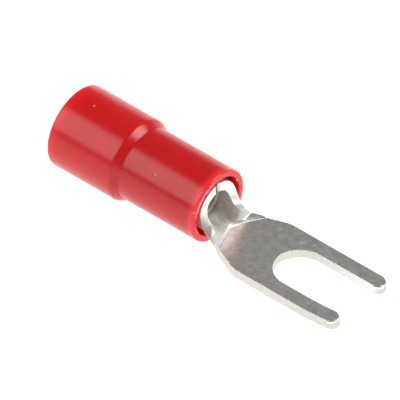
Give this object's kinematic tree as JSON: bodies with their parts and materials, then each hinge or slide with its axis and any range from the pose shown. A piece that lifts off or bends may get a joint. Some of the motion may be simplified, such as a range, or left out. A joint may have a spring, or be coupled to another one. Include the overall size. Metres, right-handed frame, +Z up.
{
  "type": "insulated fork terminal",
  "caption": "Insulated fork crimp terminal: tinned sheet-metal fork tongue and rolled wire barrel in a stepped red plastic sleeve, for joining a stranded wire to a stud or screw.",
  "frame": {"origin": "centre of the part's box, on the surface that the part lies on", "axes": "+X along the part towards the fork tips, with the barrel's axis pointing about 3 degrees down as the part lies at rest; +Z up; +Y across the fork"},
  "size_m": [0.021, 0.0052, 0.0053],
  "materials": {
    "tinned_copper": "satin",
    "red_vinyl": "gloss"
  },
  "bodies": {
    "root": {"terminal": "tinned_copper", "sleeve": "red_vinyl"}
  },
  "joints": []
}
